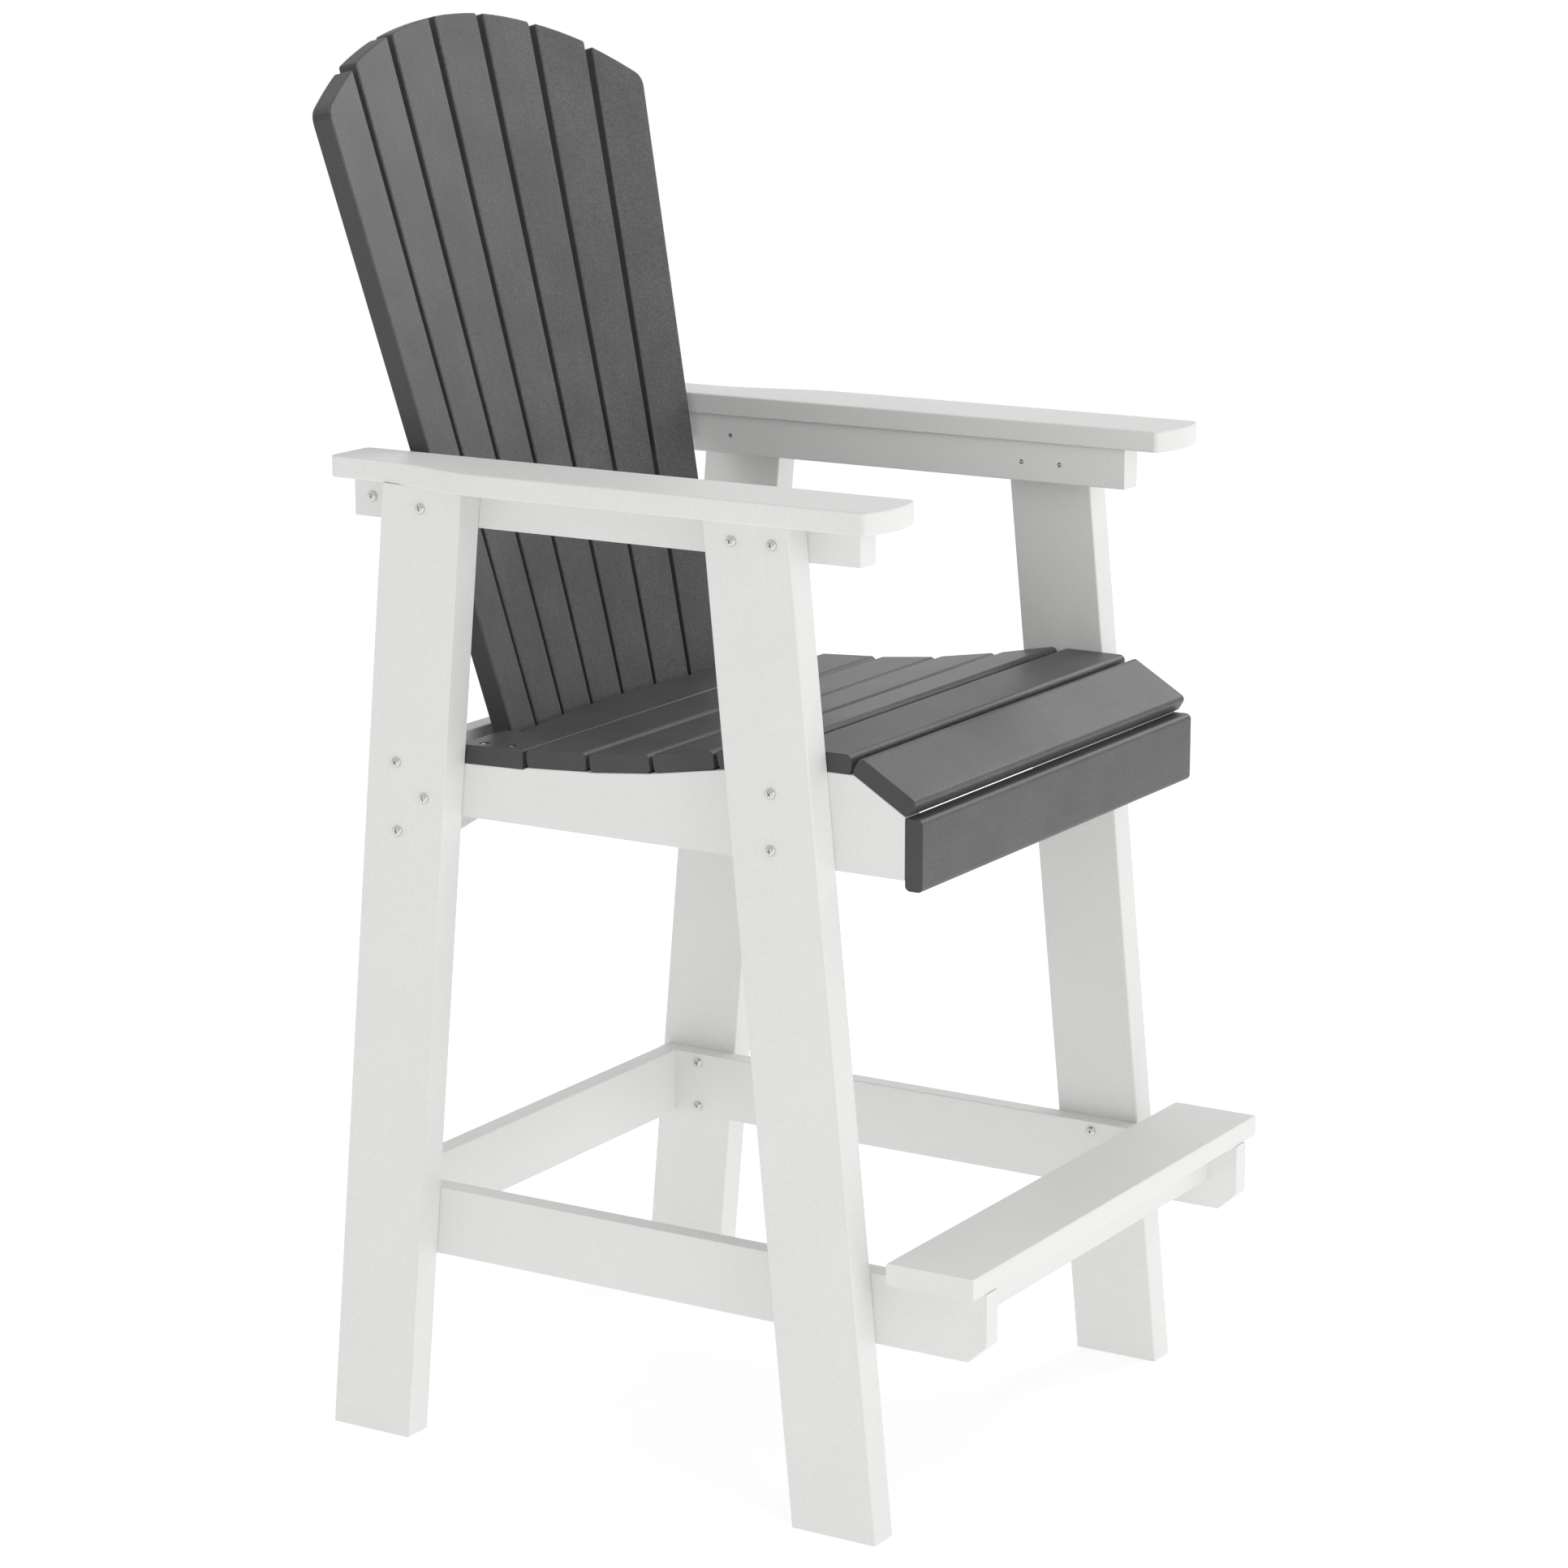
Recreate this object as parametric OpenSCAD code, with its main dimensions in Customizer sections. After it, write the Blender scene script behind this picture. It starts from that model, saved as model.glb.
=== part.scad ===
// Patio bar stool: arm chair of bar height, built from plastic lumber boards and steel screws.
// Millimetres, +Z up, floor at z = 0. The front faces -Y and the chair is symmetrical about x = 0.
// Right-hand pieces (+X) are drawn first and the left-hand ones are their mirror images.

/* [Overall] */
// Height of the arm tops above the floor
arm_z = 1002.2; // [970:0.1:1040]
// Height of the highest seat board above the floor
seat_z = 762.7; // [740:0.1:780]
// Height of the footrest's top above the floor
footrest_z = 283.3; // [240:0.1:340]
// Clear width between the left and the right legs
inner_w = 559; // [520:1:640]
// Front edge of the front legs at the floor
front_foot_y = -302.9; // [-330:0.1:-280]
// Depth over both legs at the floor
stance_d = 643.1; // [620:0.1:670]

/* [Legs] */
// Leg width, square to its edges
leg_w = 93; // [80:0.1:105]
// Leg thickness
leg_t = 33.4; // [28:0.1:40]
// Backward lean of the front legs
front_lean = 5.74; // [3:0.01:8]
// Forward lean of the rear legs
rear_lean = 4.96; // [3:0.01:7]

/* [Board thickness] */
// Arms, footrest, lower rails and cross boards
board_t = 21.6; // [18:0.1:25]
// Arm rails and seat rails
rail_t = 28.2; // [24:0.1:34]
// Seat boards and apron
seat_t = 19.1; // [16:0.1:22]
// Back slats
back_t = 21.2; // [18:0.1:24]

/* [Arms] */
// Height of the rail under each arm
arm_rail_h = 41.3; // [35:0.1:55]
// How far an arm rail runs past the leg at each end
arm_rail_past = 56.2; // [50:0.1:65]
// How far the arm runs past its rail at the front
arm_front_past = 48.9; // [20:0.1:70]
// How far the arm runs past its rail at the rear
arm_rear_past = 7.9; // [2:0.1:20]
// Overhang of the arm inside the leg's inner face
arm_in = 32.8; // [29:0.1:36]
// Overhang of the arm outside the leg's outer face
arm_out = 25.1; // [10:0.1:40]
// How far the arm's tail edge lies inside the leg's outer face
arm_tail_in = 2.9; // [0:0.1:12]
// Distance from the arm's rear end to where its outer edge starts to sweep in
arm_sweep_start = 204.5; // [150:0.1:260]
// Distance from the arm's rear end to where the sweep ends
arm_sweep_end = 54.5; // [30:0.1:90]
// Bow of the arm's front end
arm_bow = 10.5; // [4:0.1:16]
// Radius of the arm's corners in plan
arm_corner_r = 7; // [2:0.1:9]

/* [Lower frame and footrest] */
// Height of the lower rails and the stretcher
low_rail_h = 71.2; // [60:0.1:90]
// How far the lower rails run past the front legs
low_rail_past = 122.9; // [110:0.1:140]
// How far the lower rails stop short of the rear legs' rear edges
low_rail_short = 10.3; // [0:0.1:20]
// Length of the bevel under each lower rail's front end
toe_bevel_d = 20.2; // [5:0.1:24]
// Height of that bevel
toe_bevel_h = 18.2; // [5:0.1:30]
// Depth of the footrest board
footrest_d = 94; // [80:0.1:105]
// Overhang of the footrest board past the legs' inner faces
footrest_over = 25; // [5:0.1:33]
// Setback of the footrest board from the rails' front ends
footrest_setback = 1; // [0:0.1:6]
// Height of the apron under the footrest
foot_apron_h = 41.5; // [38:0.1:50]
// Setback of that apron behind the footrest's front edge
foot_apron_back = 32.2; // [10:0.1:36]

/* [Seat] */
// Height of the seat rails under the highest board
seat_rail_h = 93.8; // [85:0.1:100]
// How far the seat rails run past the front legs
seat_rail_past = 78.3; // [70:0.1:90]
// Run of the sloping nose, from the apron to the highest board
nose_run = 58; // [50:0.1:60]
// Width of the highest seat board
crest_w = 72; // [66:0.1:80]
// Width of the rearmost seat board at its ends
tail_board_w = 75; // [68:0.1:84]
// Gap between seat boards
seat_gap = 4.7; // [3:0.1:7]
// Radius of the seat boards' long edges
seat_edge_r = 5.5; // [1:0.1:8]
// Slope of each board behind the highest one, front to rear
seat_slopes = [11.1, 9.3, 5.9, 3.4, 1.45];
// Step up from each board's lower edge to the next one's, front to rear
seat_steps = [1.1, -0.8, -0.8, 0.2, -2.2];
// Gap between the seat boards' ends and the legs
seat_end_gap = 0.5; // [0.2:0.1:3]
// Width of the nose board
nose_w = 71; // [68:0.1:74]
// Slope of the nose board
nose_angle = 31; // [28:0.5:34]
// Clear height between the nose board and the apron
nose_gap = 1.7; // [0.5:0.1:4]
// Height of the front apron
apron_h = 69.4; // [62:0.1:80]
// Space between the rearmost seat board and the rear cross board
tail_gap = 41.7; // [38:0.1:48]
// Space between the rearmost seat board's arc and the back slats
slat_arc_gap = 14; // [8:0.1:18]
// Side clearance of that board's notch at the outer back slats
slat_notch_gap = 2.5; // [1:0.1:8]

/* [Cross boards] */
// Drop from the seat's highest board to the rear cross board's top
cross_drop = 45; // [40:0.1:50]
// Height of the rear cross board at its ends
cross_h = 109.7; // [100:0.1:125]
// Rise of the arch cut from its lower edge
cross_arch = 30; // [10:0.1:34]
// Flat left at each end of that arch
cross_arch_flat = 6; // [2:0.1:30]
// Setback of the cross board's middle behind the rear legs' middle
cross_back = 8.9; // [2:0.1:14]
// Depth of the lower back support at its middle
support_mid_d = 20.2; // [18:0.1:24]
// Depth of the lower back support at its ends
support_end_d = 43.5; // [30:0.1:48]
// Height of the lower back support above the seat rails' lower edges
support_lift = 14.6; // [8:0.1:18]
// Depth of the upper back board at its ends
back_board_end_d = 52; // [40:0.1:60]

/* [Back] */
// Space between the outermost back slats and the legs at seat height
slat_side_room = 74.3; // [70:0.05:90]
// Gap between back slats at seat height
slat_gap = 5; // [3:0.1:6.5]
// Gain of a slat's half width per millimetre of its length
slat_flare = 0.0147; // [0.008:0.0001:0.018]
// Backward rake of the middle slat
rake = 14.5; // [13:0.1:16]
// Tilt of the axis that the slats fan about
fan_tilt = 19.8; // [16:0.1:25]
// Distance from the middle slat to that axis at seat height
fan_r = 960; // [900:1:1100]
// Length of the slats' inner edges above seat height, from the middle slat outwards
slat_tops_in = [669.3, 668.5, 655.9, 631.5];
// Length of the slats' outer edges above seat height, from the middle slat outwards
slat_tops_out = [669.3, 657.8, 637, 600.9];
// Radius of the slats' outer top corners, from the middle slat outwards
slat_corner_r = [3, 4, 4, 17];
// Bow of each slat's top edge
slat_bow = 1.2; // [0.2:0.1:3]
// Length of the slats below the lower back support
slat_tail = 12; // [4:0.1:16]

/* [Screws] */
// Diameter of the screw shanks
shank_d = 5; // [4:0.1:5.5]
// Diameter of the screw heads
head_d = 10.5; // [8:0.1:10.6]
// Height of the screw heads
head_h = 3.2; // [2:0.1:4]
// Screws from the legs into the arm rails
arm_rail_screw_len = 60; // [50:1:60]
// Screws from the legs into the rear cross board
cross_screw_len = 75; // [55:1:90]
// Screws from the legs into the seat rails
seat_rail_screw_len = 56; // [45:1:58]
// Screws from the arm rails into the upper back board
back_board_screw_len = 48; // [40:1:50]
// Screws from the lower rails into the legs
low_rail_screw_len = 50; // [35:1:52]
// Screws from the lower rails into the stretcher
stretcher_screw_len = 55; // [35:1:70]
// Screws that hold the seat boards, the footrest and their aprons
board_screw_len = 45; // [38:1:48]
// Depth that those screws reach into a board
board_screw_bite = 14; // [10:0.5:15]
// Screws that hold the arms
arm_screw_len = 52; // [48:1:57]
// Slant screws from the seat rails into the front apron
apron_screw_len = 30; // [24:1:32]
// Screws from the upper back board into the slats
upper_slat_screw_len = 40; // [30:1:42]
// Screws from the rear cross board into the slats
lower_slat_screw_len = 60; // [55:1:61]
// Depth that the slat screws reach into a slat
slat_bite = 15; // [10:0.5:16]
// Front screw at the top of a front leg, behind the leg's front edge
leg_screw_front = 19; // [12:0.1:26]
// Rear screw there, ahead of the leg's rear edge
leg_screw_rear = 30.4; // [20:0.1:40]
// Screws into the arm rails, below the rails' middle
arm_rail_screw_drop = 1.1; // [0:0.1:8]
// Upper screw into the rear cross board, below the board's top
cross_screw_top = 13.5; // [10:0.1:20]
// Lower screw into it, above the board's lower edge
cross_screw_low = 26.8; // [16:0.1:32]
// Screws into the seat rails, from the rails' edges
seat_rail_screw_in = 19.5; // [12:0.1:26]
// Rear screw into a seat rail, ahead of the rail's rear end
seat_rail_screw_end = 21.8; // [15:0.1:26]
// Screws from the lower rails, from the rails' edges
low_rail_screw_in = 10.4; // [8:0.1:20]
// Rear screws from the lower rails, ahead of the stretcher
low_rail_screw_ahead = 30; // [15:0.1:34]
// Front screw of the rearmost seat board, behind its front edge
tail_screw_front = 23; // [15:0.1:30]
// Rear screw of that board, ahead of its rear edge
tail_screw_rear = 20.2; // [12:0.1:30]
// Screws of the arms, from the arm rails' ends
arm_screw_inset = 35; // [30:0.1:40]
// Slant of the apron screws
apron_screw_angle = 30; // [25:0.5:35]
// Depth that the apron screws reach into the apron
apron_screw_bite = 15; // [10:0.5:16]
// Apron screws, from the upper and lower edges
apron_screw_in = 16; // [12:0.1:24]
// Spacing of the two screws in a slat at the upper back board
upper_screw_pitch = 28; // [20:0.1:30]
// Spacing of the two screws in a slat at the lower back support
lower_screw_pitch = 24; // [18:0.1:26]

/* [Hidden] */
$fn = 32;

white = [0.92, 0.92, 0.91];
grey = [0.42, 0.42, 0.43];
steel = [0.72, 0.73, 0.74];

// Cuts reach this far past the faces they open
past = 1;
// Holes are this much wider than the shanks, and pockets than the heads
hole_clear = 0.2;
pocket_clear = 0.5;
// Depth from a board's face to the underside of a sunk head
head_pocket = head_h + pocket_clear;
// Depth left free under a screw's tip
tip_clear = 1;

// Screw places along a board's width, or along the nose's run, as shares of it
pair_shares = [0.25, 0.75];
nose_shares = [0.35, 0.72];
footrest_shares = [0.34, 0.82];
// Outer screws of the footrest's apron, as a share of its half length
foot_apron_share = 0.65;
// Place where the apron screws leave a seat rail's front end, as a share of its thickness
apron_screw_share = 0.38;
// The nose board's land ends this far ahead of the highest board, and the board runs up this far past it
nose_start_gap = 3;
nose_over = 3.5;
// Slats on each side of the middle one
side_slats = len(slat_tops_in) - 1;

// Planes across the chair
leg_in_x = inner_w / 2;
leg_out_x = leg_in_x + leg_t;
rail_in_x = leg_in_x - rail_t;
rail_mid_x = leg_in_x - rail_t / 2;
low_rail_in_x = leg_in_x - board_t;
low_rail_mid_x = leg_in_x - board_t / 2;
seat_half_w = leg_in_x - seat_end_gap;

// Leg edges at a height
leg_run_front = leg_w / cos(front_lean);
leg_run_rear = leg_w / cos(rear_lean);
function front_leg_y(z) = front_foot_y + z * tan(front_lean);
function rear_leg_y(z) = front_foot_y + stance_d - z * tan(rear_lean);
function front_leg_mid_y(z) = front_leg_y(z) + leg_run_front / 2;
function rear_leg_mid_y(z) = rear_leg_y(z) - leg_run_rear / 2;

// Arms and arm rails
arm_low_z = arm_z - board_t;
arm_rail_low_z = arm_low_z - arm_rail_h;
arm_rail_mid_z = arm_low_z - arm_rail_h / 2;
arm_rail_front_y = front_leg_y(arm_rail_mid_z) - arm_rail_past;
arm_rail_rear_y = rear_leg_y(arm_rail_mid_z) + arm_rail_past;
arm_front_y = arm_rail_front_y - arm_front_past;
arm_rear_y = arm_rail_rear_y + arm_rear_past;
arm_in_x = leg_in_x - arm_in;
arm_out_x = leg_out_x + arm_out;
arm_tail_x = leg_out_x - arm_tail_in;

// Lower frame
low_rail_top_z = footrest_z - board_t;
low_rail_low_z = low_rail_top_z - low_rail_h;
low_rail_mid_z = low_rail_top_z - low_rail_h / 2;
low_rail_front_y = front_leg_y(low_rail_mid_z) - low_rail_past;
low_rail_rear_y = rear_leg_y(low_rail_mid_z) - low_rail_short;
stretcher_front_y = low_rail_rear_y - board_t;
footrest_front_y = low_rail_front_y + footrest_setback;
foot_apron_front_y = footrest_front_y + foot_apron_back;
foot_apron_low_z = low_rail_top_z - foot_apron_h;

// Rear cross board
cross_top_z = seat_z - cross_drop;
cross_low_z = cross_top_z - cross_h;
cross_mid_y = rear_leg_mid_y(cross_top_z - cross_h / 2) + cross_back;
cross_front_y = cross_mid_y - board_t / 2;
cross_rear_y = cross_mid_y + board_t / 2;

// Seat rails and the boards on them, in the y-z plane
crest_low_z = seat_z - seat_t;
seat_rail_low_z = crest_low_z - seat_rail_h;
seat_rail_mid_z = crest_low_z - seat_rail_h / 2;
apron_rear_y = front_leg_y(seat_rail_mid_z) - seat_rail_past;
crest_front_y = apron_rear_y + nose_run;
last = len(seat_slopes);
tail_rear_y = cross_front_y - tail_gap;
function seat_slope(k) = k == 0 ? 0 : seat_slopes[k - 1];
// The boards between the highest one and the rearmost one share what is left of the seat's depth
middle_cosines = [for (k = [1 : last - 1]) cos(seat_slope(k))];
middle_count = [for (c = middle_cosines) 1];
middle_depth =
    tail_rear_y - tail_board_w * cos(seat_slope(last)) - crest_front_y - crest_w - last * seat_gap;
seat_board_w = middle_depth / (middle_cosines * middle_count);
function seat_front(k) = k == 0 ? [crest_front_y, crest_low_z] : seat_rear(k - 1) + [seat_gap, seat_steps[k - 1]];
function seat_width(k) =
    k == 0 ? crest_w :
    k < last ? seat_board_w :
    tail_board_w;
function seat_rear(k) = seat_front(k) + seat_width(k) * [cos(seat_slope(k)), -sin(seat_slope(k))];
function seat_land_z(k, y) = seat_front(k)[1] - (y - seat_front(k)[0]) * tan(seat_slope(k));

// Nose board
nose_start = [crest_front_y - nose_start_gap, crest_low_z];
nose_end = nose_start - (nose_w - nose_over) * [cos(nose_angle), sin(nose_angle)];
function nose_land_z(y) = nose_start[1] - (nose_start[0] - y) * tan(nose_angle);
nose_low_z = nose_end[1] + seat_edge_r * (sin(nose_angle) + cos(nose_angle) - 1);
apron_top_z = nose_low_z - nose_gap;
apron_front_y = apron_rear_y - seat_t;

// Lower back support and upper back board
support_low_z = seat_rail_low_z + support_lift;
support_mid_z = support_low_z + board_t / 2;
back_board_low_z = arm_rail_mid_z - board_t / 2;

// Back slats: the middle slat's front face meets seat height at slat_y
slat_y = cross_front_y - support_mid_d - back_t / cos(rake) + (seat_z - support_mid_z) * tan(rake);
slat_count = 2 * side_slats + 1;
slat_w = (inner_w - 2 * slat_side_room - 2 * side_slats * slat_gap) / slat_count;
fan_reach = fan_r * cos(fan_tilt);
fan_step = (slat_w + slat_gap) / fan_reach * 180 / PI;
fan_pivot = [0, slat_y - fan_r, seat_z];
slat_low_u = -(seat_z - support_low_z + slat_tail) / cos(rake);
function slat_half(u) = slat_w / 2 + u * slat_flare;

// Turns of points about the x axis and about the z axis
function turn_x(p, a) = [p[0], p[1] * cos(a) - p[2] * sin(a), p[1] * sin(a) + p[2] * cos(a)];
function turn_z(p, a) = [p[0] * cos(a) - p[1] * sin(a), p[0] * sin(a) + p[1] * cos(a), p[2]];
function fan_dir(p, i) = turn_x(turn_z(turn_x(p, -fan_tilt), -i * fan_step), fan_tilt);
function fan_point(p, i) = fan_pivot + fan_dir(p - fan_pivot, i);
// Point on slat i: u along it, s across it, v behind its front face
function slat_point(i, u, s, v) = fan_point([0, slat_y, seat_z] + turn_x([s, v, u], -rake), i);
// Point at height z on the line through p and q
function at_height(p, q, z) = p + (q - p) * (z - p[2]) / (q[2] - p[2]);
function slat_line(i, side, v, z, top = slat_tops_in[0]) =
    at_height(slat_point(i, 0, side * slat_half(0), v), slat_point(i, top, side * slat_half(top), v), z);
// Place where a line along y through x and z meets slat i's rear face
function slat_rear_y(i, x, z) =
    let (p = slat_point(i, 0, 0, back_t), n = fan_dir(turn_x([0, 1, 0], -rake), i))
    p[1] - (n[0] * (x - p[0]) + n[2] * (z - p[2])) / n[1];

// Rear edge of the rearmost seat board: an arc that follows the slats' front faces
tail_top_z = seat_front(last)[1] + seat_t;
tail_mid_y = slat_line(0, 0, 0, tail_top_z)[1] - slat_arc_gap;
tail_outer = slat_line(side_slats, 1, 0, tail_top_z);
tail_half_w = tail_outer[0] + slat_notch_gap;
tail_sag = tail_mid_y - (tail_outer[1] - slat_arc_gap);
tail_arc_r = (pow(tail_outer[0], 2) + pow(tail_sag, 2)) / (2 * tail_sag);

// Screw places on the right-hand side: each is where the head's underside sits
arm_rail_screw_z = arm_rail_mid_z - arm_rail_screw_drop;
arm_rail_screws_at = [
    [leg_out_x, front_leg_y(arm_rail_screw_z) + leg_screw_front, arm_rail_screw_z],
    [leg_out_x, front_leg_y(arm_rail_screw_z) + leg_run_front - leg_screw_rear, arm_rail_screw_z],
    [leg_out_x, rear_leg_mid_y(arm_rail_screw_z), arm_rail_screw_z]
];
cross_screws_at = [
    [leg_out_x, cross_mid_y, cross_top_z - cross_screw_top],
    [leg_out_x, cross_mid_y, cross_low_z + cross_screw_low]
];
seat_rail_screws_at = [
    [leg_out_x, front_leg_mid_y(seat_rail_mid_z), seat_rail_low_z + seat_rail_screw_in],
    [leg_out_x, front_leg_mid_y(seat_rail_mid_z), crest_low_z - seat_rail_screw_in],
    [leg_out_x, cross_front_y - seat_rail_screw_end, seat_rail_low_z + seat_rail_screw_end]
];
back_board_screws_at = [[leg_in_x, arm_rail_rear_y - board_t, arm_rail_mid_z]];
low_rail_screws_at = [
    for (y = [front_leg_mid_y(low_rail_mid_z), stretcher_front_y - low_rail_screw_ahead])
    for (z = [low_rail_low_z + low_rail_screw_in, low_rail_top_z - low_rail_screw_in])
    [low_rail_in_x, y, z]
];
stretcher_screws_at = [
    for (side = [-1, 1])
    [leg_in_x - head_pocket, stretcher_front_y + board_t / 2, low_rail_mid_z + side * low_rail_h / 5]
];
board_grip = board_screw_len - board_screw_bite;
seat_board_screws_at = concat(
    [
        for (k = [0 : last - 1])
        for (t = pair_shares)
        let (y = seat_front(k)[0] + t * seat_width(k) * cos(seat_slope(k)))
        [rail_mid_x, y, seat_land_z(k, y) - board_grip]
    ],
    [
        for (t = nose_shares)
        let (y = apron_rear_y + t * nose_run)
        [rail_mid_x, y, nose_land_z(y) - board_grip]
    ]
);
tail_screws_at = [
    for (y = [seat_front(last)[0] + tail_screw_front, tail_rear_y - tail_screw_rear])
    [rail_mid_x, y, seat_land_z(last, y) + seat_t - head_pocket]
];
apron_screw_out_x = rail_in_x + apron_screw_share * rail_t;
apron_screw_grip = apron_screw_len - apron_screw_bite;
apron_screws_at = [
    for (z = [seat_rail_low_z + apron_screw_in, apron_top_z - apron_screw_in])
    [
        apron_screw_out_x - apron_screw_grip * sin(apron_screw_angle),
        apron_rear_y + apron_screw_grip * cos(apron_screw_angle),
        z
    ]
];
arm_screws_at = [
    for (y = [
        arm_rail_front_y + arm_screw_inset,
        (arm_rail_front_y + arm_rail_rear_y) / 2,
        arm_rail_rear_y - arm_screw_inset
    ])
    [rail_mid_x, y, arm_rail_low_z + head_pocket]
];
footrest_screws_at = [
    for (t = footrest_shares)
    [low_rail_mid_x, footrest_front_y + t * footrest_d, low_rail_top_z - board_grip]
];
foot_apron_screw_len = foot_apron_h + board_screw_bite;
foot_apron_screws_at = [
    for (share = [foot_apron_share, 0])
    [share * low_rail_in_x, foot_apron_front_y + board_t / 2, foot_apron_low_z]
];

// Slat screw places for all slats, driven forward from behind
upper_slat_grip = upper_slat_screw_len - slat_bite;
lower_slat_grip = lower_slat_screw_len - slat_bite;
function slat_screws_at(i, pitch, z, rear_y, grip) = [
    for (side = [-1, 1])
    let (x = slat_line(i, 0, back_t, z)[0] + side * pitch / 2)
    [x, min(rear_y, slat_rear_y(i, x, z) + grip), z]
];
function upper_slat_screws_at(i) =
    slat_screws_at(i, upper_screw_pitch, arm_rail_mid_z, arm_rail_rear_y, upper_slat_grip);
function lower_slat_screws_at(i) =
    slat_screws_at(i, lower_screw_pitch, support_mid_z, cross_rear_y, lower_slat_grip);

// Turns that send a screw drawn along +Z the other ways
to_right = [0, 90, 0];
to_left = [0, -90, 0];
to_front = [90, 0, 0];
upwards = [0, 0, 0];
downwards = [180, 0, 0];
to_apron = [90, 0, apron_screw_angle];

// Corner of an outline, between its neighbours a and b, rounded to radius r
function unit(v) = v / norm(v);
function fillet(a, p, b, r, steps = 6) =
    let (
        u = unit(a - p),
        v = unit(b - p),
        half = acos(u * v) / 2,
        c = p + unit(u + v) * r / sin(half),
        s = p + u * r / tan(half) - c,
        e = p + v * r / tan(half) - c,
        turn = atan2(cross(s, e), s * e)
    )
    [
        for (k = [0 : steps])
        let (g = turn * k / steps)
        c + [s[0] * cos(g) - s[1] * sin(g), s[0] * sin(g) + s[1] * cos(g)]
    ];
function rounded(points, radii) =
    let (n = len(points))
    [
        for (i = [0 : n - 1])
        each (radii[i] > 0 ? fillet(points[(i + n - 1) % n], points[i], points[(i + 1) % n], radii[i]) : [points[i]])
    ];
function rectangle(w, h) = [[0, 0], [w, 0], [w, h], [0, h]];

// A 2D shape drawn in the y-z plane becomes a board from x0, t thick
module board_from_x(x0, t) {
    translate([x0, 0, 0])
        rotate([90, 0, 90])
            linear_extrude(t)
                children();
}

// A 2D shape drawn in the y-z plane becomes a board across the chair
module board_across(half_w) {
    board_from_x(-half_w, 2 * half_w)
        children();
}

module both_sides() {
    children();
    mirror([1, 0, 0])
        children();
}

module on_side(side) {
    mirror([side < 0 ? 1 : 0, 0, 0])
        children();
}

// Screw that is driven along +Z, with its head's underside at z = 0 and a cross recess
module screw(len) {
    tip_h = 0.6 * shank_d;
    recess_w = head_d / 7;
    recess_l = head_d / 2.1;
    recess_h = 0.55 * head_h;
    difference() {
        rotate_extrude()
            polygon([
                [0, -head_h], [0.31 * head_d, -head_h], [0.46 * head_d, -head_h / 2], [head_d / 2, 0],
                [shank_d / 2, 0], [shank_d / 2, len - tip_h], [shank_d / 6, len], [0, len]
            ]);
        for (a = [0, 90])
            rotate(a)
                translate([-recess_l / 2, -recess_w / 2, -head_h - past])
                    cube([recess_l, recess_w, recess_h + past]);
    }
}

// Space for that screw, with a pocket behind its head
module screw_hole(len, pocket) {
    cylinder(h = len + tip_clear, d = shank_d + hole_clear);
    if (pocket > 0)
        translate([0, 0, -pocket])
            cylinder(h = pocket, d = head_d + pocket_clear);
}

module screws(places, turn, len) {
    for (p = places)
        translate(p)
            rotate(turn)
                screw(len);
}

module screw_holes(places, turn, len, pocket = 0) {
    for (p = places)
        translate(p)
            rotate(turn)
                screw_hole(len, pocket);
}

// Legs
module front_leg(side) {
    color(white)
        on_side(side)
            difference() {
                board_from_x(leg_in_x, leg_t)
                    polygon([
                        [front_leg_y(0), 0],
                        [front_leg_y(0) + leg_run_front, 0],
                        [front_leg_y(arm_low_z) + leg_run_front, arm_low_z],
                        [front_leg_y(arm_low_z), arm_low_z]
                    ]);
                screw_holes([arm_rail_screws_at[0], arm_rail_screws_at[1]], to_left, arm_rail_screw_len);
                screw_holes([seat_rail_screws_at[0], seat_rail_screws_at[1]], to_left, seat_rail_screw_len);
                screw_holes([low_rail_screws_at[0], low_rail_screws_at[1]], to_right, low_rail_screw_len);
            }
}

module rear_leg(side) {
    color(white)
        on_side(side)
            difference() {
                board_from_x(leg_in_x, leg_t)
                    polygon([
                        [rear_leg_y(0) - leg_run_rear, 0],
                        [rear_leg_y(0), 0],
                        [rear_leg_y(arm_low_z), arm_low_z],
                        [rear_leg_y(arm_low_z) - leg_run_rear, arm_low_z]
                    ]);
                screw_holes([arm_rail_screws_at[2]], to_left, arm_rail_screw_len);
                screw_holes(cross_screws_at, to_left, cross_screw_len);
                screw_holes([seat_rail_screws_at[2]], to_left, seat_rail_screw_len);
                screw_holes([low_rail_screws_at[2], low_rail_screws_at[3]], to_right, low_rail_screw_len);
            }
}

// Arms
module arm_rail(side) {
    color(white)
        on_side(side)
            difference() {
                translate([rail_in_x, arm_rail_front_y, arm_rail_low_z])
                    cube([rail_t, arm_rail_rear_y - arm_rail_front_y, arm_rail_h]);
                screw_holes(arm_rail_screws_at, to_left, leg_t + rail_t);
                screw_holes(back_board_screws_at, to_left, back_board_screw_len);
                screw_holes(arm_screws_at, upwards, arm_screw_len, head_pocket + past);
            }
}

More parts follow.
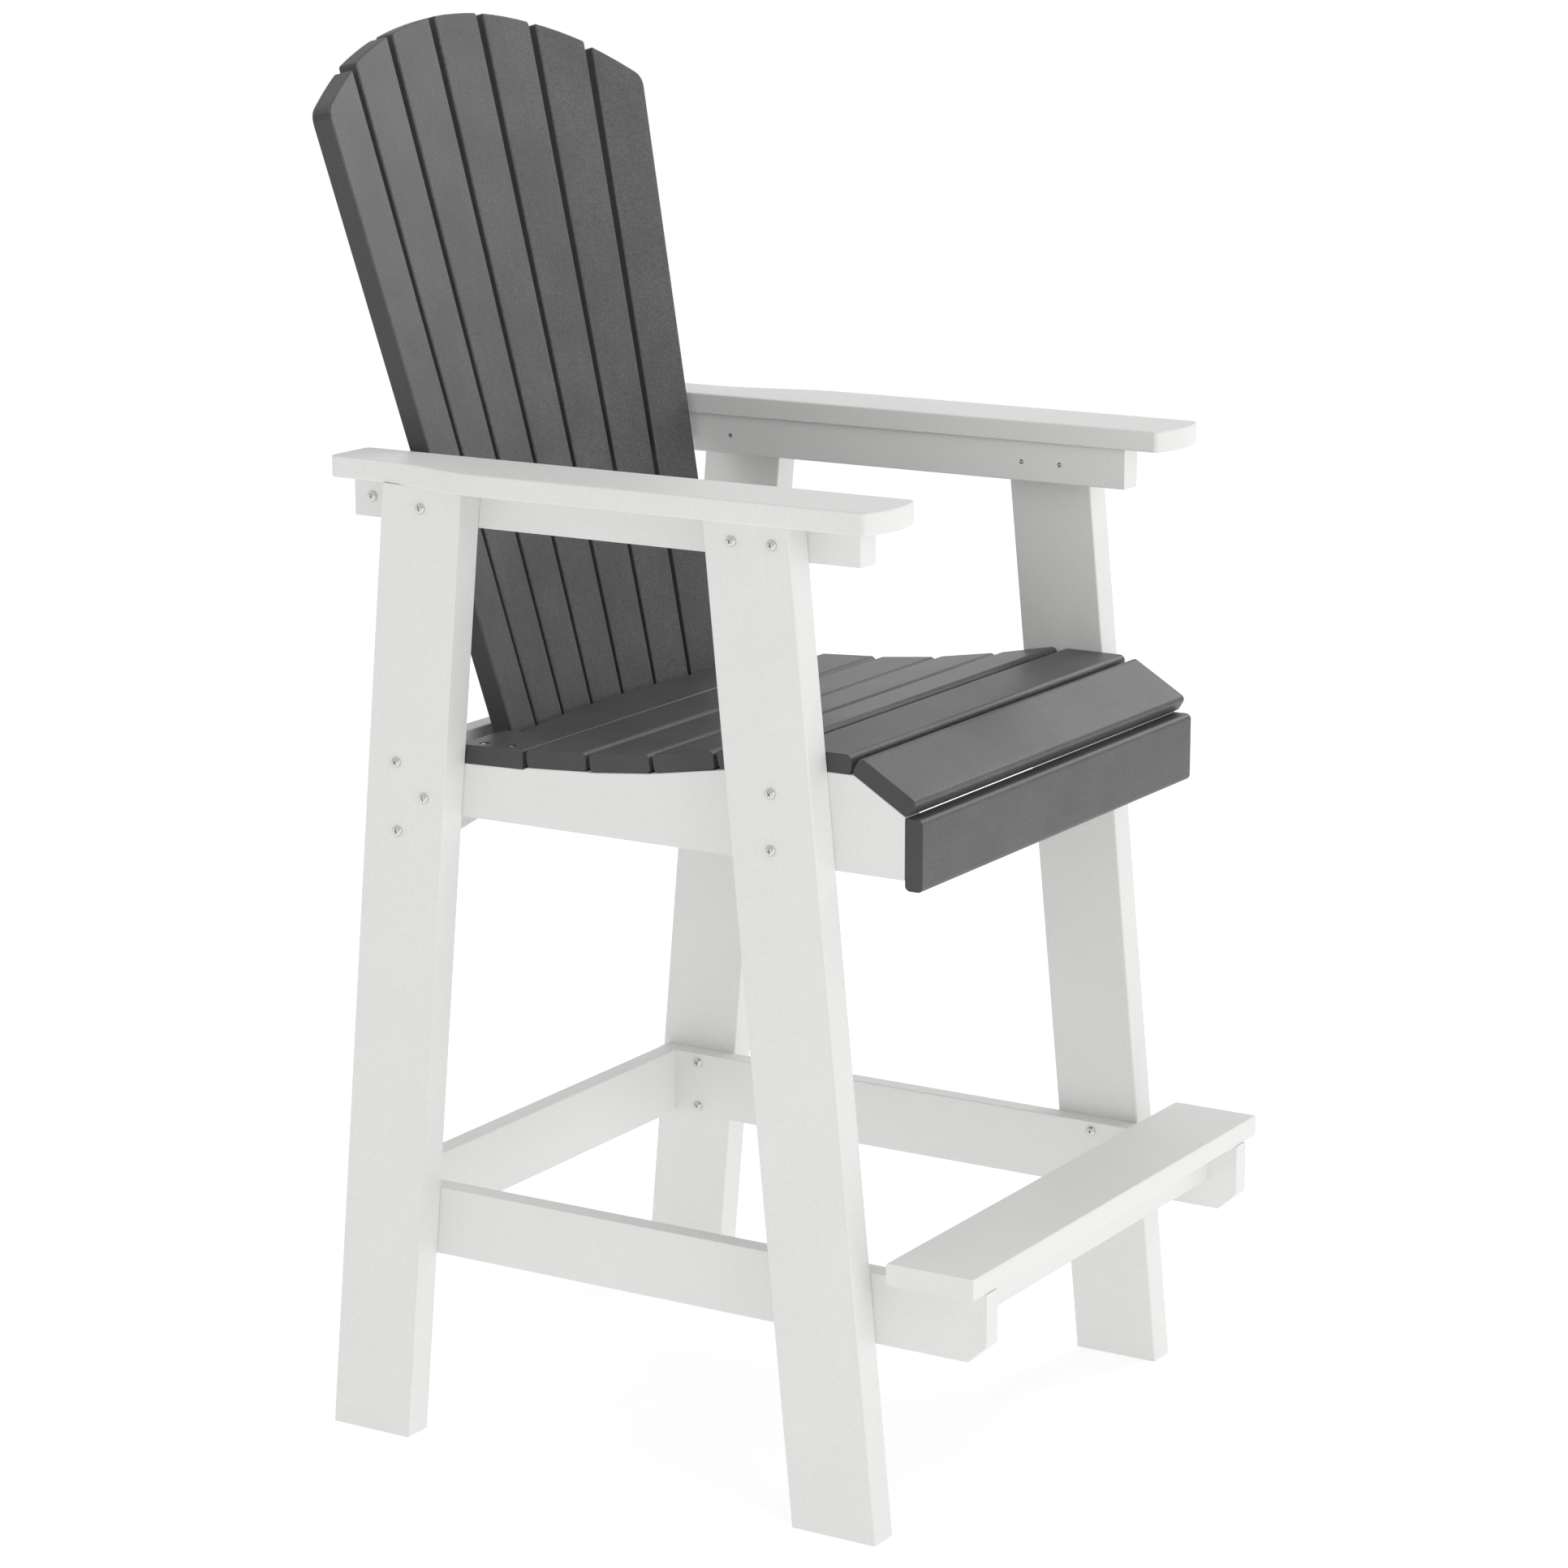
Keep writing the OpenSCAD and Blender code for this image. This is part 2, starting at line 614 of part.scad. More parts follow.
// The arm's outline in plan: straight inner edge, swept outer edge and bowed front end
arm_front_mid_x = (arm_in_x + arm_out_x) / 2;
arm_half_w = (arm_out_x - arm_in_x) / 2;
arm_front_bow = [
    for (t = [1 : -0.25 : -1])
    [arm_front_mid_x + t * arm_half_w, arm_front_y + arm_bow * t * t]
];
arm_sweep = [
    for (t = [0 : 0.1 : 1])
    [
        arm_tail_x + (arm_out_x - arm_tail_x) * (1 - cos(180 * t)) / 2,
        arm_rear_y - arm_sweep_end - (arm_sweep_start - arm_sweep_end) * t
    ]
];
arm_outline = concat([[arm_in_x, arm_rear_y], [arm_tail_x, arm_rear_y]], arm_sweep, arm_front_bow);
arm_radii = [
    for (i = [0 : len(arm_outline) - 1])
    i < 2 || i == len(arm_outline) - len(arm_front_bow) || i == len(arm_outline) - 1 ? arm_corner_r : 0
];

module arm(side) {
    color(white)
        on_side(side)
            difference() {
                translate([0, 0, arm_low_z])
                    linear_extrude(board_t)
                        polygon(rounded(arm_outline, arm_radii));
                screw_holes(arm_screws_at, upwards, arm_screw_len);
            }
}

// Lower frame
module lower_side_rail(side) {
    color(white)
        on_side(side)
            difference() {
                board_from_x(low_rail_in_x, board_t)
                    polygon([
                        [low_rail_front_y + toe_bevel_d, low_rail_low_z],
                        [low_rail_rear_y, low_rail_low_z],
                        [low_rail_rear_y, low_rail_top_z],
                        [low_rail_front_y, low_rail_top_z],
                        [low_rail_front_y, low_rail_low_z + toe_bevel_h]
                    ]);
                screw_holes(low_rail_screws_at, to_right, low_rail_screw_len);
                screw_holes(stretcher_screws_at, to_left, stretcher_screw_len, head_pocket + past);
                screw_holes(footrest_screws_at, upwards, board_screw_len, low_rail_h);
            }
}

module lower_rear_stretcher() {
    color(white)
        difference() {
            translate([-low_rail_in_x, stretcher_front_y, low_rail_low_z])
                cube([2 * low_rail_in_x, board_t, low_rail_h]);
            both_sides()
                screw_holes(stretcher_screws_at, to_left, stretcher_screw_len);
        }
}

module footrest_board() {
    half_w = leg_in_x + footrest_over;
    color(white)
        difference() {
            translate([-half_w, footrest_front_y, low_rail_top_z])
                cube([2 * half_w, footrest_d, board_t]);
            both_sides() {
                screw_holes(footrest_screws_at, upwards, board_screw_len);
                screw_holes(foot_apron_screws_at, upwards, foot_apron_screw_len);
            }
        }
}

module footrest_apron() {
    color(white)
        difference() {
            translate([-low_rail_in_x, foot_apron_front_y, foot_apron_low_z])
                cube([2 * low_rail_in_x, board_t, foot_apron_h]);
            both_sides()
                screw_holes(foot_apron_screws_at, upwards, foot_apron_screw_len);
        }
}

// Seat
module seat_rail(side) {
    lands = [
        for (k = [0 : last - 1])
        each [seat_front(k), seat_rear(k)]
    ];
    color(white)
        on_side(side)
            difference() {
                board_from_x(rail_in_x, rail_t)
                    polygon(concat(
                        [[apron_rear_y, seat_rail_low_z], [apron_rear_y, nose_land_z(apron_rear_y)], nose_start],
                        lands,
                        [
                            seat_front(last),
                            [cross_front_y, seat_land_z(last, cross_front_y)],
                            [cross_front_y, seat_rail_low_z]
                        ]
                    ));
                screw_holes(seat_rail_screws_at, to_left, seat_rail_screw_len);
                screw_holes(seat_board_screws_at, upwards, board_screw_len, seat_rail_h);
                screw_holes(tail_screws_at, downwards, board_screw_len);
                screw_holes(apron_screws_at, to_apron, apron_screw_len, rail_t);
            }
}

// Seat boards behind the nose, k = 0 for the highest one and counting to the rear
module seat_board(k) {
    w = seat_width(k);
    r = k < last ? seat_edge_r : 0;
    color(grey)
        difference() {
            board_across(seat_half_w)
                translate(seat_front(k))
                    rotate(-seat_slope(k))
                        polygon(rounded(rectangle(w, seat_t), [r, r, r, r]));
            both_sides()
                screw_holes(seat_board_screws_at, upwards, board_screw_len);
        }
}

// The rearmost board is notched around the back slats
module rear_seat_board() {
    color(grey)
        difference() {
            board_across(seat_half_w)
                translate(seat_front(last))
                    rotate(-seat_slope(last))
                        polygon(rectangle(seat_width(last), seat_t));
            difference() {
                translate([-tail_half_w, seat_front(last)[0], seat_rail_low_z])
                    cube([2 * tail_half_w, stance_d, seat_rail_h]);
                translate([0, tail_mid_y - tail_arc_r, seat_rail_low_z - past])
                    cylinder(h = seat_rail_h + 2 * past, r = tail_arc_r, $fn = 180);
            }
            both_sides()
                screw_holes(tail_screws_at, downwards, board_screw_len, head_pocket + past);
        }
}

module seat_nose_board() {
    r = seat_edge_r;
    color(grey)
        difference() {
            board_across(seat_half_w)
                translate(nose_end)
                    rotate(nose_angle)
                        polygon(rounded(rectangle(nose_w, seat_t), [r, r, r, r]));
            both_sides()
                screw_holes(seat_board_screws_at, upwards, board_screw_len);
        }
}

module seat_front_apron() {
    r = seat_edge_r;
    back_r = 1;
    color(grey)
        difference() {
            board_across(seat_half_w)
                translate([apron_front_y, apron_top_z - apron_h])
                    polygon(rounded(rectangle(seat_t, apron_h), [r, r, back_r, r]));
            both_sides()
                screw_holes(apron_screws_at, to_apron, apron_screw_len);
        }
}

// Cross boards
module rear_cross_board() {
    half_chord = leg_in_x - cross_arch_flat;
    arch_r = (pow(half_chord, 2) + pow(cross_arch, 2)) / (2 * cross_arch);
    color(white)
        difference() {
            translate([-leg_in_x, cross_front_y, cross_low_z])
                cube([inner_w, board_t, cross_h]);
            translate([0, cross_front_y - past, cross_low_z + cross_arch - arch_r])
                rotate([-90, 0, 0])
                    cylinder(h = board_t + 2 * past, r = arch_r, $fn = 180);
            both_sides()
                screw_holes(cross_screws_at, to_left, cross_screw_len);
            for (i = [-side_slats : side_slats])
                screw_holes(lower_slat_screws_at(i), to_front, lower_slat_screw_len, 2 * board_t);
        }
}

// Cone about the fan's axis that touches the slats' rear corners between u0 and u1
function fan_cone_r(u) =
    let (r = fan_reach + u * sin(rake + fan_tilt) + back_t * cos(rake + fan_tilt))
    norm([r, slat_half(u)]);
function fan_cone_h(u) = -fan_r * sin(fan_tilt) + u * cos(rake + fan_tilt) - back_t * sin(rake + fan_tilt);

module fan_cone(u) {
    reach = 150;
    clear = 0.1;
    translate(fan_pivot)
        rotate([fan_tilt, 0, 0])
            translate([0, 0, fan_cone_h(u - reach)])
                cylinder(
                    h = fan_cone_h(u + reach) - fan_cone_h(u - reach),
                    r1 = fan_cone_r(u - reach) + clear,
                    r2 = fan_cone_r(u + reach) + clear,
                    $fn = 180
                );
}

module lower_back_support() {
    color(white)
        difference() {
            translate([-rail_in_x, cross_front_y - support_end_d, support_low_z])
                cube([2 * rail_in_x, support_end_d, board_t]);
            fan_cone((support_mid_z - seat_z) / cos(rake));
            for (i = [-side_slats : side_slats])
                screw_holes(lower_slat_screws_at(i), to_front, lower_slat_screw_len);
        }
}

module upper_back_board() {
    color(white)
        difference() {
            translate([-rail_in_x, arm_rail_rear_y - back_board_end_d, back_board_low_z])
                cube([2 * rail_in_x, back_board_end_d, board_t]);
            fan_cone((arm_rail_mid_z - seat_z) / cos(rake));
            both_sides()
                screw_holes(back_board_screws_at, to_left, back_board_screw_len);
            for (i = [-side_slats : side_slats])
                screw_holes(upper_slat_screws_at(i), to_front, upper_slat_screw_len, 2 * back_board_end_d);
        }
}

// Back slats, i = -3 on the left to 3 on the right
module back_slat(i) {
    n = abs(i);
    side = i < 0 ? -1 : 1;
    top_in = slat_tops_in[n];
    top_out = slat_tops_out[n];
    inner = [-slat_half(top_in), top_in];
    outer = [slat_half(top_out), top_out];
    bow = [
        for (t = [0 : 0.25 : 1])
        outer + t * (inner - outer) + [0, 4 * slat_bow * t * (1 - t)]
    ];
    outline = concat([[-slat_half(slat_low_u), slat_low_u], [slat_half(slat_low_u), slat_low_u]], bow);
    inner_r = 2;
    radii = [0, 0, slat_corner_r[n], 0, 0, 0, inner_r];
    color(grey)
        difference() {
            translate(fan_pivot)
                rotate([fan_tilt, 0, 0])
                    rotate([0, 0, -i * fan_step])
                        rotate([-fan_tilt, 0, 0])
                            translate([0, fan_r, 0])
                                rotate([-rake, 0, 0])
                                    translate([0, back_t, 0])
                                        rotate([90, 0, 0])
                                            linear_extrude(back_t)
                                                scale([side, 1])
                                                    polygon(rounded(outline, radii));
            screw_holes(upper_slat_screws_at(i), to_front, upper_slat_screw_len);
            screw_holes(lower_slat_screws_at(i), to_front, lower_slat_screw_len);
        }
}

// Screws, each group of like screws in one sub-part
module arm_rail_screws() {
    color(steel)
        both_sides()
            screws(arm_rail_screws_at, to_left, arm_rail_screw_len);
}

module cross_board_screws() {
    color(steel)
        both_sides()
            screws(cross_screws_at, to_left, cross_screw_len);
}

module seat_rail_screws() {
    color(steel)
        both_sides()
            screws(seat_rail_screws_at, to_left, seat_rail_screw_len);
}

module upper_back_board_screws() {
    color(steel)
        both_sides()
            screws(back_board_screws_at, to_left, back_board_screw_len);
}

module lower_rail_screws() {
    color(steel)
        both_sides()
            screws(low_rail_screws_at, to_right, low_rail_screw_len);
}

module stretcher_screws() {
    color(steel)
        both_sides()
            screws(stretcher_screws_at, to_left, stretcher_screw_len);
}

module seat_board_screws() {
    color(steel)
        both_sides()
            screws(seat_board_screws_at, upwards, board_screw_len);
}

module rear_seat_board_screws() {
    color(steel)
        both_sides()
            screws(tail_screws_at, downwards, board_screw_len);
}

module apron_screws() {
    color(steel)
        both_sides()
            screws(apron_screws_at, to_apron, apron_screw_len);
}

module upper_slat_screws() {
    color(steel)
        for (i = [-side_slats : side_slats])
            screws(upper_slat_screws_at(i), to_front, upper_slat_screw_len);
}

module lower_slat_screws() {
    color(steel)
        for (i = [-side_slats : side_slats])
            screws(lower_slat_screws_at(i), to_front, lower_slat_screw_len);
}

module arm_screws() {
    color(steel)
        both_sides()
            screws(arm_screws_at, upwards, arm_screw_len);
}

module footrest_screws() {
    color(steel)
        both_sides()
            screws(footrest_screws_at, upwards, board_screw_len);
}

module footrest_apron_screws() {
    color(steel) {
        both_sides()
            screws([foot_apron_screws_at[0]], upwards, foot_apron_screw_len);
        screws([foot_apron_screws_at[1]], upwards, foot_apron_screw_len);
    }
}

front_leg(-1);  // front_leg_left
front_leg(1);  // front_leg_right
rear_leg(-1);  // rear_leg_left
rear_leg(1);  // rear_leg_right
arm_rail(-1);  // arm_rail_left
arm_rail(1);  // arm_rail_right
arm(-1);  // arm_left
arm(1);  // arm_right
lower_side_rail(-1);  // lower_side_rail_left
lower_side_rail(1);  // lower_side_rail_right
lower_rear_stretcher();
footrest_board();
footrest_apron();
seat_rail(-1);  // seat_rail_left
seat_rail(1);  // seat_rail_right
rear_seat_board();  // seat_board_1
seat_board(4);  // seat_board_2
seat_board(3);  // seat_board_3
seat_board(2);  // seat_board_4
seat_board(1);  // seat_board_5
seat_board(0);  // seat_board_6
seat_nose_board();
seat_front_apron();
rear_cross_board();
lower_back_support();
upper_back_board();
back_slat(-3);  // back_slat_1
back_slat(-2);  // back_slat_2
back_slat(-1);  // back_slat_3
back_slat(0);  // back_slat_4
back_slat(1);  // back_slat_5
back_slat(2);  // back_slat_6
back_slat(3);  // back_slat_7
arm_rail_screws();
cross_board_screws();
seat_rail_screws();
upper_back_board_screws();
lower_rail_screws();
stretcher_screws();
seat_board_screws();
rear_seat_board_screws();
apron_screws();
upper_slat_screws();
lower_slat_screws();
arm_screws();
footrest_screws();
footrest_apron_screws();
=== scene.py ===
import math

import bmesh
import bpy
from mathutils import Matrix, Vector


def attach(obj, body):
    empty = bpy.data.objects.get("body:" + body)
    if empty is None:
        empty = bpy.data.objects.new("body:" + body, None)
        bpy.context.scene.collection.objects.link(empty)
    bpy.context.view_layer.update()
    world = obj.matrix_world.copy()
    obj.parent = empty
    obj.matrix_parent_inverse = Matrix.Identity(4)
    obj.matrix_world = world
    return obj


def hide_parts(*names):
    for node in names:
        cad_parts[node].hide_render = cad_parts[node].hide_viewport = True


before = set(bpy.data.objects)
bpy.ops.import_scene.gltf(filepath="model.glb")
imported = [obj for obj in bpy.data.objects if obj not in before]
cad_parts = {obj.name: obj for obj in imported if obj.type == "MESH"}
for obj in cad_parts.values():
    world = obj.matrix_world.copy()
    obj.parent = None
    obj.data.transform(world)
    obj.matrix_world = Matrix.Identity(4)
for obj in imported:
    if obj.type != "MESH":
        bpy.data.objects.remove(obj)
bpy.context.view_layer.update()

# The legs
# Each leg is one board of white plastic lumber: matte, dyed through, with the fine grain of its extrusion.
# It is sawn level at both ends, and its long edges are routed to a small round. Screws hold it to the rails.

NOISE_LOW, NOISE_HIGH = 0.3, 0.7
SPECKLE_SCALE, SPECKLE_DETAIL, SPECKLE_ROUGHNESS = 430, 3, 0.6
STREAK_SCALE_ALONG, STREAK_SCALE_ACROSS = 5, 150
CLOUD_SCALE = 14
SMOOTH_DETAIL = 2
STREAK_SHARE, CLOUD_SHARE = 0.12, 0.3
SHEEN_SPREAD = 0.07
PLASTIC_SPECULAR = 0.7
SPECKLE_RELIEF, SPECKLE_DEPTH = 0.35, 0.00025
STREAK_RELIEF, STREAK_DEPTH = 0.1, 0.0001


def plastic_lumber(name, colour, grain, dull, along):
    """Matte plastic, extruded along x, y or z. Grain is its speckle's strength and dull its roughness."""
    finish = bpy.data.materials.new(name)
    finish.use_nodes = True
    nodes = finish.node_tree.nodes
    links = finish.node_tree.links
    shader = nodes["Principled BSDF"]
    place = nodes.new("ShaderNodeTexCoord")

    speckle = nodes.new("ShaderNodeTexNoise")
    speckle.inputs["Scale"].default_value = SPECKLE_SCALE
    speckle.inputs["Detail"].default_value = SPECKLE_DETAIL
    speckle.inputs["Roughness"].default_value = SPECKLE_ROUGHNESS
    links.new(place.outputs["Object"], speckle.inputs["Vector"])

    stretch = nodes.new("ShaderNodeMapping")
    stretch.inputs["Scale"].default_value = [
        STREAK_SCALE_ALONG if axis == along else STREAK_SCALE_ACROSS for axis in "xyz"
    ]
    links.new(place.outputs["Object"], stretch.inputs["Vector"])
    streaks = nodes.new("ShaderNodeTexNoise")
    streaks.inputs["Scale"].default_value = 1
    streaks.inputs["Detail"].default_value = SMOOTH_DETAIL
    links.new(stretch.outputs["Vector"], streaks.inputs["Vector"])

    clouds = nodes.new("ShaderNodeTexNoise")
    clouds.inputs["Scale"].default_value = CLOUD_SCALE
    clouds.inputs["Detail"].default_value = SMOOTH_DETAIL
    links.new(place.outputs["Object"], clouds.inputs["Vector"])

    tones = []
    for texture, share in ((speckle, 1), (streaks, STREAK_SHARE), (clouds, CLOUD_SHARE)):
        tone = nodes.new("ShaderNodeMapRange")
        tone.inputs["From Min"].default_value = NOISE_LOW
        tone.inputs["From Max"].default_value = NOISE_HIGH
        tone.inputs["To Min"].default_value = 1 - share * grain
        tone.inputs["To Max"].default_value = 1 + share * grain
        links.new(texture.outputs["Fac"], tone.inputs["Value"])
        tones.append(tone.outputs["Result"])
    mixed = tones[0]
    for tone in tones[1:]:
        product = nodes.new("ShaderNodeMath")
        product.operation = "MULTIPLY"
        links.new(mixed, product.inputs[0])
        links.new(tone, product.inputs[1])
        mixed = product.outputs["Value"]
    dye = nodes.new("ShaderNodeVectorMath")
    dye.operation = "SCALE"
    dye.inputs[0].default_value = colour
    links.new(mixed, dye.inputs["Scale"])
    links.new(dye.outputs["Vector"], shader.inputs["Base Color"])

    sheen = nodes.new("ShaderNodeMapRange")
    sheen.inputs["From Min"].default_value = NOISE_LOW
    sheen.inputs["From Max"].default_value = NOISE_HIGH
    sheen.inputs["To Min"].default_value = dull - SHEEN_SPREAD
    sheen.inputs["To Max"].default_value = dull + SHEEN_SPREAD
    links.new(speckle.outputs["Fac"], sheen.inputs["Value"])
    links.new(sheen.outputs["Result"], shader.inputs["Roughness"])
    shader.inputs["Specular IOR Level"].default_value = PLASTIC_SPECULAR

    relief = nodes.new("ShaderNodeBump")
    relief.inputs["Strength"].default_value = SPECKLE_RELIEF
    relief.inputs["Distance"].default_value = SPECKLE_DEPTH
    links.new(speckle.outputs["Fac"], relief.inputs["Height"])
    waves = nodes.new("ShaderNodeBump")
    waves.inputs["Strength"].default_value = STREAK_RELIEF
    waves.inputs["Distance"].default_value = STREAK_DEPTH
    links.new(streaks.outputs["Fac"], waves.inputs["Height"])
    links.new(relief.outputs["Normal"], waves.inputs["Normal"])
    links.new(waves.outputs["Normal"], shader.inputs["Normal"])
    return finish


WHITE = (0.8, 0.8, 0.79)
WHITE_GRAIN, WHITE_DULL = 0.03, 0.49
white_along = {
    axis: plastic_lumber("white_lumber_" + axis, WHITE, WHITE_GRAIN, WHITE_DULL, axis)
    for axis in "xyz"
}

MERGE_DIST = 1e-6
SAME_FLAT_ANGLE = math.radians(0.6)
EDGE_ANGLE = math.radians(25)
BOARD_SHADE_ANGLE = math.radians(33)
SCREW_HOLE_SIZE = 0.016
LONG_EDGE_STEPS, END_EDGE_STEPS = 4, 2
LENGTHWISE = 0.5
ENDWISE = 0.9


def sharp_runs(board):
    """Edges that stick out by more than EDGE_ANGLE, in runs that touch."""
    left = {
        e for e in board.edges
        if len(e.link_faces) == 2 and e.calc_face_angle_signed(0) > EDGE_ANGLE
    }
    while left:
        run = [left.pop()]
        for edge in run:
            for corner in edge.verts:
                for other in corner.link_edges:
                    if other in left:
                        left.discard(other)
                        run.append(other)
        yield run


def routed(node, finish, edge_r, end_r=None, end_axis="x", end_finish=None):
    """A board rounded as the router leaves it, by edge_r along its length and end_r round its ends."""
    mesh = bpy.data.meshes.new(node + "_finished")
    board = bmesh.new()
    board.from_mesh(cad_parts[node].data)
    bmesh.ops.remove_doubles(board, verts=board.verts, dist=MERGE_DIST)
    bmesh.ops.dissolve_limit(
        board, angle_limit=SAME_FLAT_ANGLE, verts=board.verts, edges=board.edges,
    )
    ends = "xyz".index(end_axis)
    long_edges, end_edges = [], []
    for run in sharp_runs(board):
        points = [v.co for e in run for v in e.verts]
        size = Vector([max(p[k] for p in points) - min(p[k] for p in points) for k in range(3)])
        if size.length < SCREW_HOLE_SIZE:
            continue
        for e in run:
            along = abs((e.verts[1].co - e.verts[0].co).normalized()[ends])
            (long_edges if along > LENGTHWISE or end_r is None else end_edges).append(e)
    for edges, r, steps in (
        (long_edges, edge_r, LONG_EDGE_STEPS), (end_edges, end_r, END_EDGE_STEPS),
    ):
        edges = [e for e in edges if e.is_valid]
        if edges and r:
            bmesh.ops.bevel(
                board, geom=edges, offset=r, offset_type="OFFSET", affect="EDGES", segments=steps,
                profile=0.5, material=-1, clamp_overlap=False, loop_slide=True,
            )
    bmesh.ops.recalc_face_normals(board, faces=board.faces)
    for face in board.faces:
        face.smooth = True
        # Faces along end_axis take end_finish: on the grey boards a darker grey, partly the sawn ends' own
        # tone and partly painted shade
        face.material_index = 1 if end_finish and abs(face.normal[ends]) > ENDWISE else 0
    board.to_mesh(mesh)
    board.free()
    if "custom_normal" in mesh.attributes:
        mesh.attributes.remove(mesh.attributes["custom_normal"])
    mesh.set_sharp_from_angle(angle=BOARD_SHADE_ANGLE)
    mesh.materials.append(finish)
    if end_finish:
        mesh.materials.append(end_finish)
    piece = bpy.data.objects.new(node + "_finished", mesh)
    bpy.context.scene.collection.objects.link(piece)
    even = piece.modifiers.new("even_light_on_flats", "WEIGHTED_NORMAL")
    even.keep_sharp = True
    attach(piece, "root")
    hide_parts(node)


LEG_EDGE_R, LEG_END_R = 0.0016, 0.0006
for leg in ("front_leg_left", "front_leg_right", "rear_leg_left", "rear_leg_right"):
    routed(leg, white_along["z"], LEG_EDGE_R, LEG_END_R, "z")

# Arms and the rails under them
# Each arm is one white board with a bowed front end and a swept outer edge, and every edge of it is routed.
# The rail under it is sawn from thicker stock. Screws from below hold the arm, so that its top shows none.

ARM_EDGE_R, ARM_RAIL_EDGE_R = 0.0018, 0.0014
SAWN_END_R = 0.0008
for side in ("left", "right"):
    routed("arm_" + side, white_along["y"], ARM_EDGE_R)
    routed(
        "arm_rail_" + side, white_along["y"], ARM_RAIL_EDGE_R, SAWN_END_R, "y",
    )

# Lower frame and footrest
# Two white rails run between the legs, with a stretcher at the rear and a bevel under each front end.
# The footrest is a board laid on their front ends, and a narrower board under it keeps it stiff.

FRAME_EDGE_R = 0.0015
for side in ("left", "right"):
    routed(
        "lower_side_rail_" + side, white_along["y"], FRAME_EDGE_R, SAWN_END_R, "y",
    )
for cross in ("lower_rear_stretcher", "footrest_board", "footrest_apron"):
    routed(cross, white_along["x"], FRAME_EDGE_R, SAWN_END_R, "x")

# Seat rails and cross boards
# The seat rails are white boards with their tops sawn to the seat's contour and all their edges eased.
# One cross board has an arch and joins the rear legs. Two curved ones carry the slats.

SEAT_RAIL_EDGE_R = 0.0012
for side in ("left", "right"):
    routed("seat_rail_" + side, white_along["y"], SEAT_RAIL_EDGE_R)
for cross in ("rear_cross_board", "lower_back_support", "upper_back_board"):
    routed(cross, white_along["x"], FRAME_EDGE_R, SAWN_END_R, "x")

# Seat boards
# Grey boards of thinner stock with well rounded long edges, laid over the rails with gaps that let rain out.
# Their sawn square ends are a darker grey: partly their own tone, partly painted shade. The rearmost one is
# cut in an arc round the back slats.

GREY = (0.066, 0.066, 0.067)
# A darker copy of the grey for the faces across the chair: partly the sawn ends' own tone, partly painted
# shade
SAWN_GREY_AND_PAINTED_SHADE = (0.042, 0.042, 0.043)
SEAT_GRAIN, SEAT_DULL = 0.56, 0.47
SAWN_GRAIN, SAWN_DULL = 0.25, 0.6
SEAT_EASE_R, REAR_SEAT_EDGE_R = 0.0007, 0.002
grey_across = plastic_lumber("grey_lumber_x", GREY, SEAT_GRAIN, SEAT_DULL, "x")
grey_sawn_and_painted_shade = plastic_lumber("grey_sawn_end_and_painted_shade", SAWN_GREY_AND_PAINTED_SHADE, SAWN_GRAIN, SAWN_DULL, "z")
for number in range(2, 7):
    routed(
        "seat_board_%d" % number, grey_across, SEAT_EASE_R, SEAT_EASE_R, "x",
        grey_sawn_and_painted_shade,
    )
routed(
    "seat_board_1", grey_across, REAR_SEAT_EDGE_R, SEAT_EASE_R, "x", grey_sawn_and_painted_shade,
)
for front in ("seat_nose_board", "seat_front_apron"):
    routed(front, grey_across, SEAT_EASE_R, SEAT_EASE_R, "x", grey_sawn_and_painted_shade)

# Back slats
# Seven tapered grey boards in a fan, with routed edges, slightly crowned tops and sawn sides painted a
# darker grey as shade.
# They stand in front of the two curved boards. Screws from behind hold them, so their faces show none.

SLAT_GRAIN, SLAT_DULL = 0.5, 0.49
SLAT_EDGE_R = 0.002
grey_upright = plastic_lumber("grey_lumber_z", GREY, SLAT_GRAIN, SLAT_DULL, "z")
for number in range(1, 8):
    routed(
        "back_slat_%d" % number, grey_upright, SLAT_EDGE_R, end_finish=grey_sawn_and_painted_shade,
    )

# Screws
# Stainless pan heads with a cross recess, a shank and a blunt tip, driven into predrilled boards.
# Most heads sit on the boards' faces. Some are sunk, such as the rearmost seat board's, just below its top.

SCRATCH_SCALE, SCRATCH_DETAIL = 1400, 2
STEEL_DARK, STEEL_LIGHT = (0.6, 0.6, 0.59, 1), (0.75, 0.75, 0.74, 1)
STEEL_DULL_LOW, STEEL_DULL_HIGH = 0.16, 0.3
SCRATCH_RELIEF, SCRATCH_DEPTH = 0.15, 0.0001


